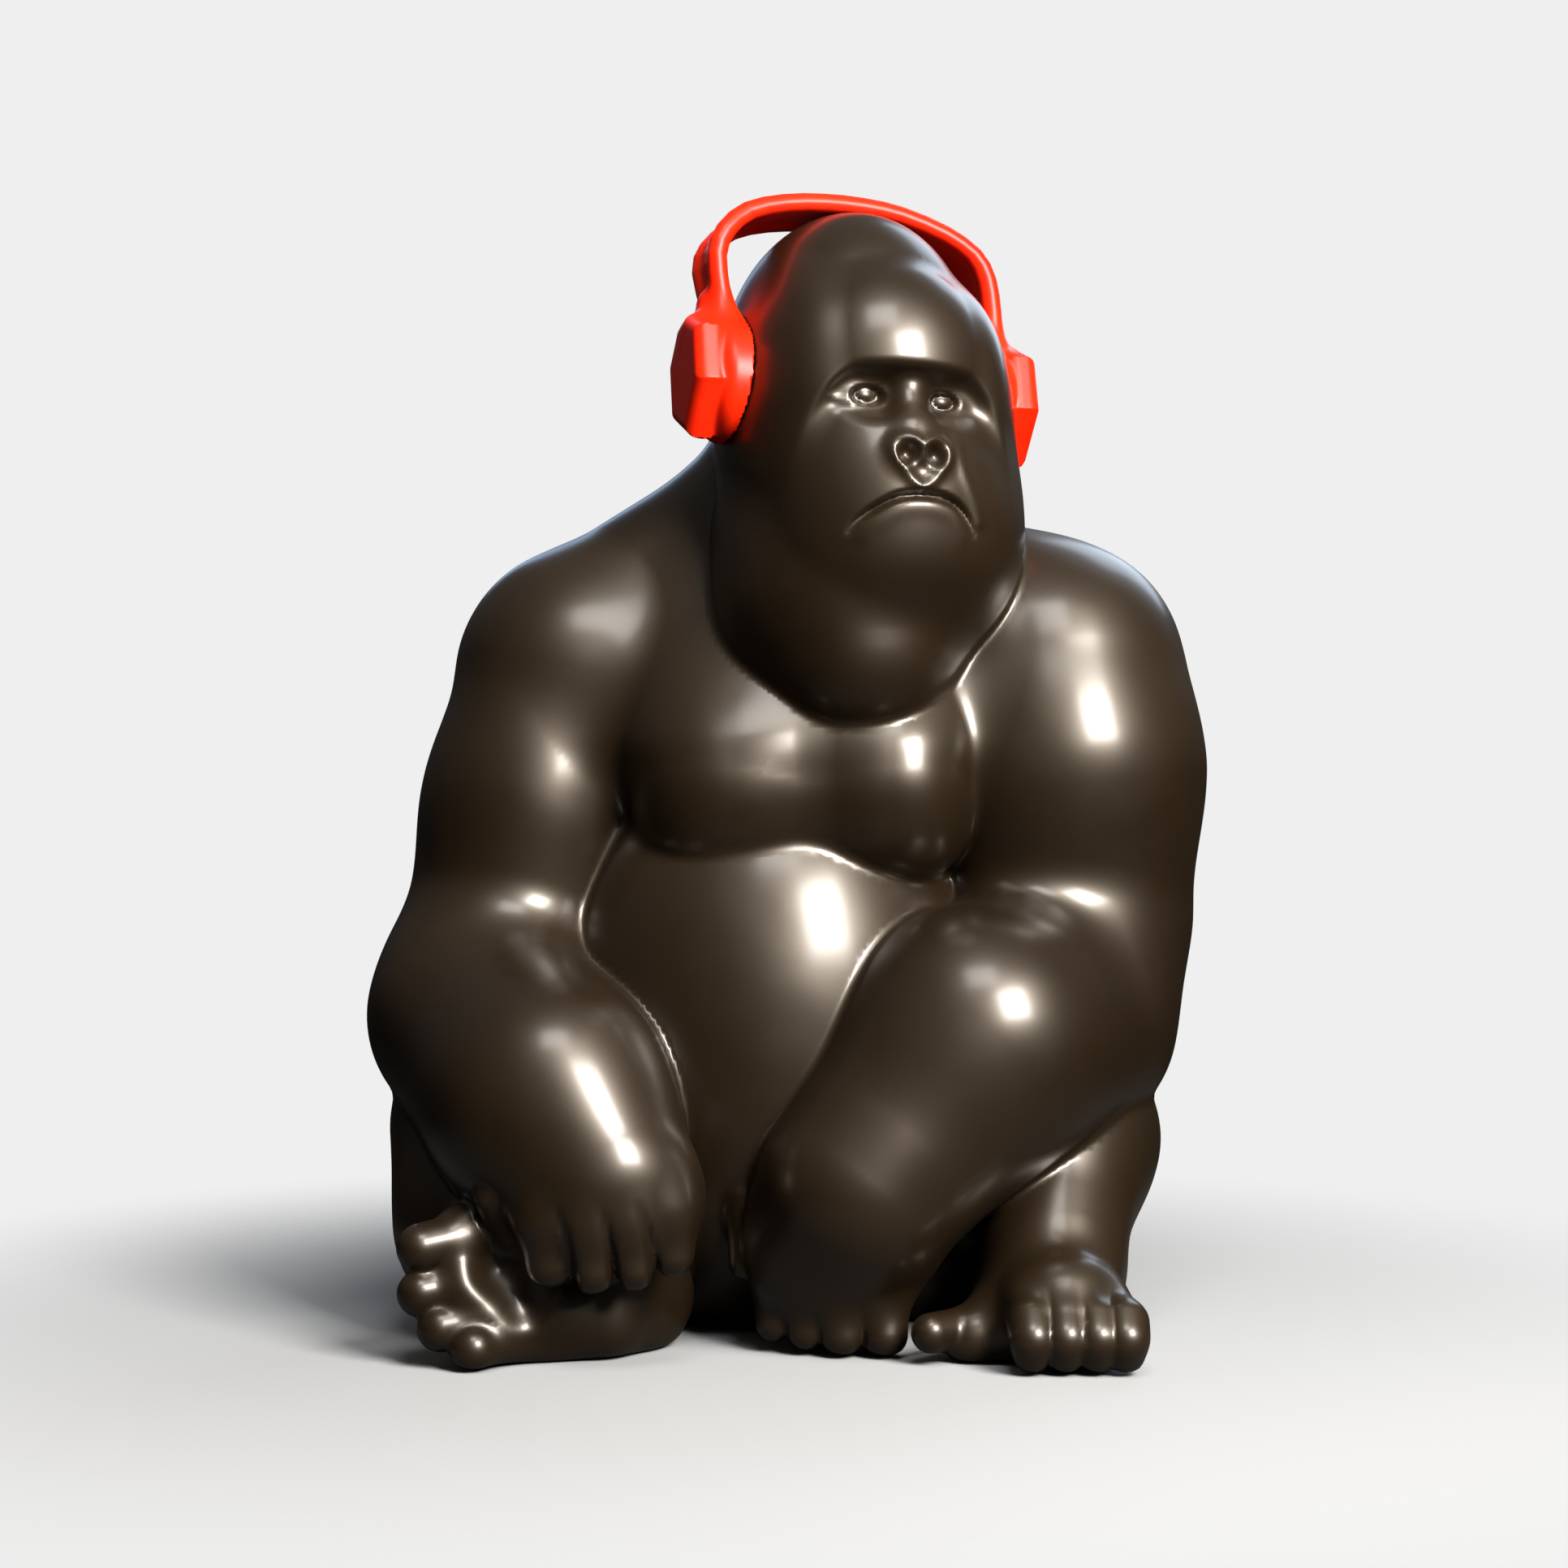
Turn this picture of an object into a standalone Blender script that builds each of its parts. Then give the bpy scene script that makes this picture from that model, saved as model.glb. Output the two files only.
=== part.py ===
"""Seated gorilla figurine with headphones: two resin castings, modelled as clay.

Sizes are in millimetres and become metres where the meshes are made. +Z is up, the
figure looks along -Y, and left and right are the viewer's. The clay is a solid given by
its signed distance, below zero inside, and its skin is cut into triangles.
"""
import bpy
import numpy as np
from math import radians, cos, sin

MM = 0.001

# How finely the clay is cut, and how many triangles each casting keeps
BODY_GRID = 1.6
PHONES_GRID = 0.9
BODY_TRIANGLES = 9600
PHONES_TRIANGLES = 3400
CELLS = 6

# Head frame: between the ears, turned and tipped to the viewer's right
EARS = (22, -12, 268.5)
HEAD_YAW = 18
HEAD_ROLL = 3

# Headphones, in a frame that leans back from the ears
BAND_TILT = 19
RAIL_RADIUS = 2.9
RAIL_SPREAD_AT_CUPS = 5
RAIL_SPREAD_ON_TOP = 8.5
BACK_RAIL_RISE = 0.18
WEB_HALF_THICKNESS = 1.4
CUP_MIDDLE = -3
CAP_OUTER = 52
CAP_INNER = 42.5
RING_DEEPEST = 30
CUP_HALF_WIDTH = 14
CUP_SIDE_TOP = 9.5
CUP_SIDE_BOTTOM = -7.5
CUP_TOP = 17.5
CUP_TIP = -19.5
RING_SHARE = 0.93
COLLAR_TOP = 23
SEAT_GAP = 0.35

# Blends between lumps of clay
CRISP = 2.5
SOFT = 14
SHOULDER_BLEND = 18
FLOOR_ROUND = 3
FLAT_WITHIN = 0.12


def ease(x, start, end):
    """Rises smoothly from 0 at start to 1 at end."""
    t = np.clip((x - start) / (end - start), 0, 1)
    return t * t * (3 - 2 * t)


def turn_x(degrees):
    c, s = cos(radians(degrees)), sin(radians(degrees))
    return np.array([[1, 0, 0], [0, c, -s], [0, s, c]])


def turn_y(degrees):
    c, s = cos(radians(degrees)), sin(radians(degrees))
    return np.array([[c, 0, s], [0, 1, 0], [-s, 0, c]])


def turn_z(degrees):
    c, s = cos(radians(degrees)), sin(radians(degrees))
    return np.array([[c, -s, 0], [s, c, 0], [0, 0, 1]])


HEAD_TURN = turn_z(HEAD_YAW) @ turn_y(HEAD_ROLL)
BAND_TURN = HEAD_TURN @ turn_x(-BAND_TILT)


def ball(p, centre, radii, turn=None, power=2):
    """An ellipsoid, squarer with a higher power."""
    q = p - np.array(centre, float)
    if turn is not None:
        q = q @ turn
    r = np.array(radii, float)
    share = np.abs(q / r)
    size = (share ** power).sum(1) ** (1 / power) + 1e-9
    rise = share ** (power - 1) / r / (size ** (power - 1))[:, None]
    return (size - 1) / (np.sqrt((rise * rise).sum(1)) + 1e-9)


def limb(p, start, end):
    """A round cone between two balls, each (x, y, z, radius)."""
    a, b = np.array(start[:3], float), np.array(end[:3], float)
    ra, rb = start[3], end[3]
    along = b - a
    length2 = along @ along
    step = ra - rb
    slant2 = length2 - step * step
    pa = p - a
    y = pa @ along
    z = y - length2
    side = pa * length2 - y[:, None] * along
    x2 = (side * side).sum(1)
    y2 = y * y * length2
    z2 = z * z * length2
    k = np.sign(step) * step * step * x2
    out = (np.sqrt(x2 * slant2 / length2) + y * step) / length2 - ra
    out = np.where(np.sign(y) * slant2 * y2 < k, np.sqrt(x2 + y2) / length2 - ra, out)
    return np.where(np.sign(z) * slant2 * z2 > k, np.sqrt(x2 + z2) / length2 - rb, out)


def melt(a, b, blend):
    """Joins two solids with a fillet about as wide as the blend."""
    h = np.maximum(blend - np.abs(a - b), 0) / blend
    return np.minimum(a, b) - h * h * blend / 4


def bite(a, b, blend):
    """Takes solid b out of solid a."""
    return -melt(-a, b, blend)


def chain(p, balls, blend=SOFT):
    """A limb through several balls."""
    out = limb(p, balls[0], balls[1])
    for start, end in zip(balls[1:], balls[2:]):
        out = melt(out, limb(p, start, end), blend)
    return out


def joined(solids, blend):
    out = solids[0]
    for solid in solids[1:]:
        out = melt(out, solid, blend)
    return out


def within(p, centre, reach, shape, beyond=30):
    """The shape near its own place, and a plain bound far from it."""
    out = np.linalg.norm(p - np.array(centre, float), axis=1) - reach
    near = out < beyond
    if near.any():
        out[near] = shape(p[near])
    return out


def curve_through(points, per_span=3):
    """A smooth line through the points."""
    pts = np.array(points, float)
    pts = np.vstack([2 * pts[0] - pts[1], pts, 2 * pts[-1] - pts[-2]])
    t = np.arange(per_span)[:, None] / per_span
    spans = [0.5 * (2 * b + (c - a) * t + (2 * a - 5 * b + 4 * c - d) * t ** 2
                    + (3 * b - a - 3 * c + d) * t ** 3)
             for a, b, c, d in zip(pts, pts[1:], pts[2:], pts[3:])]
    return np.vstack(spans + [pts[-2:-1]])


def from_line(p, line):
    best = np.full(len(p), 1e9)
    for a, b in zip(line, line[1:]):
        along = b - a
        t = np.clip((p - a) @ along / (along @ along), 0, 1)
        best = np.minimum(best, ((p - a - t[:, None] * along) ** 2).sum(1))
    return np.sqrt(best)


def press(body, flat, line, width, depth, where):
    """Sinks the surface by depth along a flat line, or raises it where depth is negative."""
    near = (flat > line.min(0) - 3 * width).all(1) & (flat < line.max(0) + 3 * width).all(1)
    out = body.copy()
    out[near] += depth * np.exp(-(from_line(flat[near], line) / width) ** 2) * where[near]
    return out


def torso(p):
    y, z = p[:, 1], p[:, 2]
    back = melt(ball(p, (0, 30, 140), (82, 50, 92)), ball(p, (6, 24, 192), (90, 42, 40)), 25)
    upper = melt(back, ball(p, (5, 8, 174), (62, 42, 44)), 20)
    lean = turn_x(-20)
    chest = melt(ball(p, (-14, -10.5, 159), (35, 42, 27.5), lean, 2.6),
                 ball(p, (24, -10.5, 158), (33.5, 42, 27), lean, 2.6), 9)
    upper = melt(upper, chest, 4 + 20 * ease(z, 142, 170))
    belly = ball(p, (-6, 6, 80), (66, 66, 92))
    low = melt(belly, ball(p, (-4, 34, 45), (84, 50, 64)), 20)
    return melt(upper, low, CRISP + 22 * ease(y, 5, 45))


ELBOW_BLEND = 11


def right_arm(p):
    """The arm on the viewer's left, whose hand hangs over the foot."""
    upper = chain(p, [(-66, 10, 186, 32.5), (-75, 2, 150, 29.5), (-82, 0, 106, 32.5)])
    fore = chain(p, [(-86.5, -13, 89, 35), (-68, -44, 70, 33), (-50, -68, 50, 25)])
    hand = melt(fore, ball(p, (-48, -73, 44), (25, 16, 19)), 8)
    fingers = [limb(p, (x - 1, y + 5, z + 22, radius + 1), (x, y, z, radius))
               for x, y, z, radius in ((-64.5, -80, 28.5, 6.6), (-53.5, -83.5, 27.5, 6.6),
                                       (-42.5, -83, 28, 6.4), (-31.5, -77.5, 30.5, 6))]
    hand = melt(hand, joined(fingers, 1.2), 6)
    face_on = p[:, [0, 2]]
    front = ease(-p[:, 1], 62, 72)
    for x, tall in ((-59, 21), (-48, 24), (-37, 22)):
        hand = press(hand, face_on, np.array([(x - 1, 30 + tall), (x + 0.5, 38), (x + 1, 24)]), 1.7, 1.5,
                     front * (1 - ease(p[:, 2], 36, 52)))
    return melt(upper, hand, ELBOW_BLEND)


def left_arm(p):
    """The arm on the viewer's right, whose fingertips rest on the ground."""
    upper = chain(p, [(78, 10, 188, 39.8), (82.5, 5, 150, 36), (84.5, -1, 120, 35.8)])
    fore = chain(p, [(76, -17, 87, 35.5), (50, -44, 77, 36), (20, -58, 46, 29)])
    hand = melt(fore, ball(p, (13, -56, 30), (26, 17, 24)), 8)
    fingers = [limb(p, (x, y + 7, z + 24, radius + 1.5), (x, y, z, radius))
               for x, y, z, radius in ((-4, -55, 8, 5.3), (4.8, -59, 6.5, 5.3), (14.5, -62, 6, 6),
                                       (26, -62.5, 6, 6.3))]
    hand = melt(hand, joined(fingers, 1.2), 5)
    return melt(melt(upper, hand, 1.5 * ELBOW_BLEND), limb(p, (-12, -50, 42, 5.5), (-12, -53, 24, 4.6)), 1.2)


def right_leg(p):
    """Folded flat on the ground, with the sole turned to the viewer."""
    leg = chain(p, [(-40, 30, 50, 42), (-80.5, -12, 57, 31), (-80, -28, 32, 28.5), (-52, -50, 22, 20)])
    foot = ball(p, (-62, -58, 15), (37, 18, 25), turn_z(24))
    foot = melt(foot, ball(p, (-84, -69, 19), (15, 12, 23)), 6)
    foot = bite(foot, ball(p, (-58, -82, 27), (22, 14, 13), turn_z(24)), 8)
    for root, tip in (((-88, -68, 33, 7), (-98.5, -74, 31.5, 6.6)),
                      ((-88, -70, 21, 6.5), (-98.5, -75, 19.5, 6.3)),
                      ((-82, -73, 12, 6.3), (-93, -77, 10.5, 6.2)),
                      ((-74, -74, 7, 6.3), (-83, -80, 5.5, 6.2)),
                      ((-76, -66, 36, 6.5), (-79.5, -74, 45.5, 5))):
        foot = melt(foot, limb(p, root, tip), 1.4)
    return melt(leg, foot, 6)


def left_leg(p):
    """Knee out to the side, with the foot flat and pointing at the viewer."""
    leg = chain(p, [(40, 30, 52, 42), (75.5, -14, 54, 28), (74, -46, 28, 19.5)])
    foot = chain(p, [(71.5, -46, 16, 20), (73.5, -68, 13, 17.5)])
    foot = melt(foot, chain(p, [(62, -58, 7, 14), (50, -66, 6, 9)]), 8)
    foot = melt(foot, limb(p, (48, -65, 8, 6.5), (37.5, -73, 8.5, 5.4)), 1.6)
    toes = [chain(p, [(x - lean, -72, 17, 6.5), (x, -85, 12.5, 5.9), (x, -90, 5, 5)], 2)
            for x, lean in ((64.2, 0), (72.8, 0.5), (81.2, 1.5), (88.6, 3.5))]
    foot = melt(foot, joined(toes, 1), 5)
    return melt(leg, foot, 8)


# Lines on the face, seen from straight ahead as (across, up) from the ears
MOUTH_LINE = curve_through([(-18.8, -45), (-16.4, -42), (-12, -38.6), (-7.4, -35.8), (-2.6, -34.5), (2.4, -34.2),
                            (7, -34.8), (11, -36.4), (14.2, -39.4), (17, -43.6)])
NOSE_LINE = curve_through([(0, -32.6), (-2.8, -29.8), (-5.6, -26.6), (-7.7, -24), (-8.3, -21.4), (-7.2, -19.2),
                           (-4.8, -18.3), (-2.3, -18.8), (0, -20.1), (2.3, -18.8), (4.8, -18.3), (7.2, -19.2),
                           (8.3, -21.4), (7.7, -24), (5.6, -26.6), (2.8, -29.8), (0, -32.6)], 2)
CHEEK_LINE = curve_through([(11.6, -20), (12.9, -26), (14.9, -31), (16.9, -35.5), (18.4, -40)])
EYE_CORNER_LINE = curve_through([(-22.6, -7.4), (-19.6, -8.2), (-17, -8.8)], 2)
EYE_MIDDLE = -0.9
EYE_SPREAD = 11.3
BROW_HEIGHT = 2.8


def eyes(face, q):
    """A ball between two lids, at each side of the nose's bridge."""
    for side in (-1, 1):
        across = EYE_MIDDLE + side * EYE_SPREAD
        face = melt(face, ball(q, (across, -31.4, -6.4), (7.6, 5.8, 5.4)), 1.8)
        face = bite(face, ball(q, (across, -39, -6.4), (5.2, 5, 3.4)), 0.6)
        face = melt(face, ball(q, (across, -31.6, -6.4), (5, 4.8, 3.7)), 0.3)
    return face


def nose(face, q, face_on, front):
    """A heart-shaped rim around two curled nostrils."""
    face = melt(face, chain(q, [(0, -34, 2, 4.5), (0, -36.8, -7, 4.2), (0, -41.5, -17, 7)], 3), 3.5)
    face = melt(face, ball(q, (0, -41.5, -25), (10, 10.2, 8.8)), 4)
    face = press(face, face_on, NOSE_LINE, 1.25, -1.3, front)
    for side in (-1, 1):
        face = bite(face, ball(q, (side * 4.5, -53.5, -21.4), (2.7, 3.6, 2.3)), 1)
        face = melt(face, ball(q, (side * 4.4, -49.6, -25), (2.5, 2.3, 2.5)), 0.8)
    return face


def mouth(face, face_on, front):
    """The upper lip hangs over the lower one."""
    fading = front * (1 - ease(np.abs(face_on[:, 0] + 1), 11, 20))
    face = press(face, face_on, MOUTH_LINE, 1.2, 2.2, fading)
    return press(face, face_on, (MOUTH_LINE - (-1, -34)) * (0.8, 0.8) + (-1, -37.4), 2, -0.8, fading)


def head(p):
    q = (p - np.array(EARS)) @ HEAD_TURN
    from_middle = np.abs(q[:, 0])
    face_on = q[:, [0, 2]]
    front = ease(-q[:, 1], 5, 20)
    skull = ball(q, (-2, 11, 6), (37, 44, 47.5))
    face = melt(skull, ball(q, (2.5, -3, -30), (41, 39, 41)), 26)
    eye_band = chain(q, [(-24, -38, -6, 5), (-12, -44.5, -6, 9.5), (12, -44.5, -6, 9.5), (24, -38, -6, 5)], 6)
    face = bite(face, eye_band, 1.6)
    forehead = ball(q, (0, -14.5, -1), (33, 30, 37))
    brow_front = -44.5 + 0.012 * from_middle ** 2
    brow_edge = BROW_HEIGHT - 0.045 * np.maximum(from_middle - 14, 0) ** 2
    over_brow = (q[:, 2] - brow_edge + 0.8 * (q[:, 1] - brow_front)) * 0.7
    forehead = -melt(-forehead, over_brow, 1.4)
    face = melt(face, forehead, 2.5 + 14 * ease(from_middle, 20, 32))
    face = melt(face, ball(q, (0.5, -21, -34), (29, 30, 25)), SOFT)
    face = melt(face, ball(q, (1, -20, -50), (30, 28, 21)), SOFT)
    face = melt(face, ball(q, (0, -17, -62), (32, 29, 21)), 10)
    face = melt(face, limb(p, (34, -22, 222, 28), (11, -38, 201, 21)), 20)
    face = eyes(face, q)
    face = nose(face, q, face_on, front)
    face = mouth(face, face_on, front)
    face = press(face, face_on, CHEEK_LINE, 2, -0.5, front)
    return press(face, face_on, EYE_CORNER_LINE, 1.2, -0.5, front)


def neck(p):
    nape = chain(p, [(16, 20, 246, 35), (6, 30, 205, 44)])
    slopes = melt(limb(p, (7, 24, 243, 27), (-64, 16, 202.5, 20)),
                  limb(p, (22, 22, 226, 26), (86, 16, 198, 20)), 10)
    return melt(nape, slopes, 16)


def throat(p):
    """The fold of the throat, whose tip hangs over the chest."""
    return chain(p, [(19, -10, 230, 41), (17, -19, 207, 35), (20, -36.5, 191.5, 23)], SOFT)


def gorilla(p):
    behind = ease(p[:, 1], -5, 35)
    body = melt(torso(p), neck(p), 16)
    for arm, shoulder, arm_middle in ((right_arm, (-66, 10, 190), (-62, -30, 125)),
                                      (left_arm, (76, 10, 188), (58, -25, 115))):
        from_shoulder = np.linalg.norm(p - np.array(shoulder), axis=1)
        blend = SHOULDER_BLEND + (CRISP - SHOULDER_BLEND) * ease(from_shoulder, 30, 70)
        body = melt(body, within(p, arm_middle, 120, arm), blend)
    body = melt(body, within(p, (-60, -10, 35), 75, right_leg), CRISP)
    body = melt(body, within(p, (62, -10, 45), 85, left_leg), CRISP)
    body = melt(body, within(p, (19, -20, 215), 70, throat), CRISP + SOFT * behind)
    body = melt(body, within(p, EARS, 80, head), CRISP + SOFT * behind)
    return -melt(-body, p[:, 2], FLOOR_ROUND)


# Front rail of the band, in its leaning plane, as (across, up) from the ears
RAIL_LINE = curve_through([(-43.4, 16), (-43.9, 24), (-45.2, 35.4), (-42.4, 43.6), (-35.2, 50.6), (-24, 54.5),
                           (-12, 56.2), (0, 56.4), (12, 55), (25.5, 50.4), (34, 44.6), (38, 37),
                           (39.5, 27.2), (39.9, 18)], 2)
# Outline of a cup from the side, as (back, up) from the ears
CUP_OUTLINE = np.array([(-CUP_HALF_WIDTH, CUP_SIDE_BOTTOM), (-CUP_HALF_WIDTH, CUP_SIDE_TOP), (-4, CUP_TOP),
                        (4, CUP_TOP), (CUP_HALF_WIDTH, CUP_SIDE_TOP), (CUP_HALF_WIDTH, CUP_SIDE_BOTTOM),
                        (0, CUP_TIP)])


def from_outline(side, corners):
    """Distance to a convex outline that runs clockwise."""
    best = np.full(len(side), -1e9)
    for a, b in zip(corners, np.roll(corners, -1, 0)):
        outward = np.array((a[1] - b[1], b[0] - a[0]))
        best = np.maximum(best, (side - a) @ (outward / np.linalg.norm(outward)))
    return best


def slab(side, across, radius):
    """An outline carried across, with its edges rounded."""
    a, b = side + radius, across + radius
    return np.minimum(np.maximum(a, b), 0) + np.hypot(np.maximum(a, 0), np.maximum(b, 0)) - radius


def cup(q, side):
    """A flat hexagonal cap on a rounder ring, with a collar for the band."""
    out = side * (q[:, 0] - CUP_MIDDLE)
    face_on = q[:, 1:]
    cap = slab(from_outline(face_on, CUP_OUTLINE), np.abs(out - (CAP_OUTER + CAP_INNER) / 2)
               - (CAP_OUTER - CAP_INNER) / 2, 3)
    ring = slab(from_outline(face_on, CUP_OUTLINE * RING_SHARE),
                np.abs(out - (CAP_INNER + RING_DEEPEST) / 2 - 1) - (CAP_INNER - RING_DEEPEST) / 2 - 1, 3)
    collar = limb(q, (CUP_MIDDLE + side * 40, 0, 12, 8.5), (CUP_MIDDLE + side * 41, 0, COLLAR_TOP, 5.6))
    return melt(melt(cap, ring, 1.6), collar, 5)


def headphones(p):
    """The band's two rails with a web between them, and a cup at each end."""
    q = (p - np.array(EARS)) @ BAND_TURN
    rise = BACK_RAIL_RISE * (q[:, 1] + RAIL_SPREAD_ON_TOP) * ease(q[:, 2], 20, 46)
    from_rail = from_line(np.stack([q[:, 0], q[:, 2] - rise], 1), RAIL_LINE)
    spread = RAIL_SPREAD_AT_CUPS + (RAIL_SPREAD_ON_TOP - RAIL_SPREAD_AT_CUPS) * ease(q[:, 2], 20, 46)
    off_rail = np.abs(q[:, 1]) - spread
    rails = np.hypot(from_rail, off_rail) - RAIL_RADIUS
    out = melt(rails, slab(from_rail - WEB_HALF_THICKNESS, off_rail, 0.8), 1.5)
    for side in (-1, 1):
        out = melt(out, cup(q, side), 3)
    return out


def seated_headphones(p):
    """Headphones cut back from the head, so that a fine gap is left all over."""
    return np.maximum(within(p, np.array(EARS) + (0, 6, 16), 75, headphones), SEAT_GAP - gorilla(p))


# A grid cell has eight corners, numbered by their bits along x, y and z
CORNERS = [(n & 1, n >> 1 & 1, n >> 2 & 1) for n in range(8)]
EDGES = [(a, b) for a in range(8) for b in range(a + 1, 8) if a ^ b in (1, 2, 4)]
SIDES = ((0, 4, 6, 2), (1, 3, 7, 5), (0, 1, 5, 4), (2, 6, 7, 3), (0, 2, 3, 1), (4, 5, 7, 6))


def edge_between(a, b):
    return EDGES.index((min(a, b), max(a, b)))


def cut_loops(inside):
    """Loops of cut edges around the solid corners of a cell."""
    after = {}
    for side in SIDES:
        solid = [corner in inside for corner in side]
        for k in range(4):
            if solid[k] and not solid[(k + 1) % 4]:
                first = k
                while solid[(first - 1) % 4]:
                    first -= 1
                entering = edge_between(side[first % 4], side[(first - 1) % 4])
                after[entering] = edge_between(side[k], side[(k + 1) % 4])
    loops = []
    while after:
        loop = [min(after)]
        following = after.pop(loop[0])
        while following != loop[0]:
            loop.append(following)
            following = after.pop(following)
        loops.append(loop)
    return loops


def fan(loop):
    """Triangles over a loop, with no diagonal lying in a side of the cell."""
    def flat_diagonals(turned):
        ends = [set(EDGES[turned[0]]) | set(EDGES[turned[k]]) for k in range(2, len(loop) - 1)]
        return sum(any(pair <= set(side) for side in SIDES) for pair in ends)
    turned = min((loop[s:] + loop[:s] for s in range(len(loop))), key=flat_diagonals)
    return [(turned[0], turned[k], turned[k + 1]) for k in range(1, len(loop) - 1)]


def cell_triangles(pattern):
    inside = {corner for corner in range(8) if pattern >> corner & 1}
    return [triangle for loop in cut_loops(inside) for triangle in fan(loop)]


def skin(solid, low, high, grid):
    """Points and triangles of the solid's surface between two corners of space."""
    low = np.array(low, float)
    block_size = grid * CELLS
    blocks = np.ceil((np.array(high) - low) / block_size).astype(int)
    places = np.stack(np.meshgrid(*[np.arange(n) for n in blocks], indexing="ij"), -1).reshape(-1, 3)
    places = places[np.abs(solid(low + (places + 0.5) * block_size)) < 1.4 * block_size]
    local = np.stack(np.meshgrid(*[np.arange(CELLS + 1)] * 3, indexing="ij"), -1)
    index = places[:, None, None, None, :] * CELLS + local
    nodes = blocks * CELLS + 1
    values = np.concatenate([solid((low + part * grid).reshape(-1, 3)).reshape(part.shape[:-1])
                             for part in np.array_split(index, len(index) // 500 + 1)])
    number = (index[..., 0] * nodes[1] + index[..., 1]) * nodes[2] + index[..., 2]

    def per_cell(field):
        return np.array([field[:, i:i + CELLS, j:j + CELLS, k:k + CELLS].reshape(-1) for i, j, k in CORNERS])
    corner_number, corner_value = per_cell(number), per_cell(values)
    pattern = sum((corner_value[corner] < 0).astype(int) << corner for corner in range(8))
    keys, spots = [], []
    for found in np.unique(pattern):
        cells = np.where(pattern == found)[0]
        for triangle in cell_triangles(found):
            for edge in triangle:
                a, b = EDGES[edge]
                place_a, place_b = (np.stack(np.unravel_index(corner_number[c][cells], nodes), -1) for c in (a, b))
                share = corner_value[a][cells] / (corner_value[a][cells] - corner_value[b][cells])
                keys.append(corner_number[a][cells] * 3 + (1, 2, 4).index(a ^ b))
                spots.append(place_a + share[:, None] * (place_b - place_a))
    keys = np.concatenate([np.stack(keys[n:n + 3], 1) for n in range(0, len(keys), 3)])
    spots = np.concatenate([np.stack(spots[n:n + 3], 1) for n in range(0, len(spots), 3)])
    _, first, triangles = np.unique(keys.reshape(-1), return_index=True, return_inverse=True)
    return low + spots.reshape(-1, 3)[first] * grid, triangles.reshape(-1, 3)


def settle(solid, points, reach=0.05, furthest=0.8):
    """Moves each point onto the surface along its slope."""
    slope = np.stack([solid(points + step) - solid(points - step) for step in np.eye(3) * reach], 1) / (2 * reach)
    move = -solid(points)[:, None] * slope / np.maximum((slope * slope).sum(1, keepdims=True), 0.05)
    length = np.maximum(np.linalg.norm(move, axis=1, keepdims=True), 1e-9)
    return points + move * np.minimum(1, furthest / length)


def resin(name, colour, roughness):
    material = bpy.data.materials.new(name)
    material.use_nodes = True
    shader = material.node_tree.nodes["Principled BSDF"]
    shader.inputs["Base Color"].default_value = (*colour, 1)
    shader.inputs["Roughness"].default_value = roughness
    shader.inputs["Metallic"].default_value = 0
    return material


def thinned(thing, share):
    """The object's mesh with a share of its triangles, and its underside flat again."""
    thinner = thing.modifiers.new("fewer_triangles", "DECIMATE")
    thinner.ratio = share
    graph = bpy.context.evaluated_depsgraph_get()
    mesh = bpy.data.meshes.new_from_object(thing.evaluated_get(graph))
    thing.modifiers.remove(thinner)
    for vertex in mesh.vertices:
        if abs(vertex.co.z) < FLAT_WITHIN * MM:
            vertex.co.z = 0
    return mesh


def casting(name, solid, low, high, grid, triangles, material):
    """One closed mesh object of the solid, with about the given number of triangles."""
    points, faces = skin(solid, low, high, grid)
    points = np.round(settle(solid, points) * MM, 6)
    mesh = bpy.data.meshes.new(name)
    mesh.from_pydata(points.tolist(), [], faces.tolist())
    mesh.materials.append(material)
    mesh.shade_smooth()
    thing = bpy.data.objects.new(name, mesh)
    bpy.context.scene.collection.objects.link(thing)
    thing.data = thinned(thing, triangles / len(faces))
    return thing


def centre_on_floor(things):
    """Puts the middle of the whole figure's footprint over the origin."""
    corners = np.array([vertex.co for thing in things for vertex in thing.data.vertices])
    middle = (corners.min(0) + corners.max(0)) / 2
    for thing in things:
        thing.location = (-middle[0], -middle[1], 0)


def build():
    for thing in list(bpy.data.objects):
        bpy.data.objects.remove(thing)
    body = casting("gorilla", gorilla, (-130, -110, -6), (135, 100, 330), BODY_GRID, BODY_TRIANGLES,
                   resin("dark_resin", (0.022, 0.016, 0.012), 0.25))
    phones = casting("headphones", seated_headphones, (-50, -60, 235), (90, 50, 340), PHONES_GRID,
                     PHONES_TRIANGLES, resin("red_resin", (0.85, 0.03, 0.01), 0.22))
    centre_on_floor((body, phones))


build()
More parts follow.
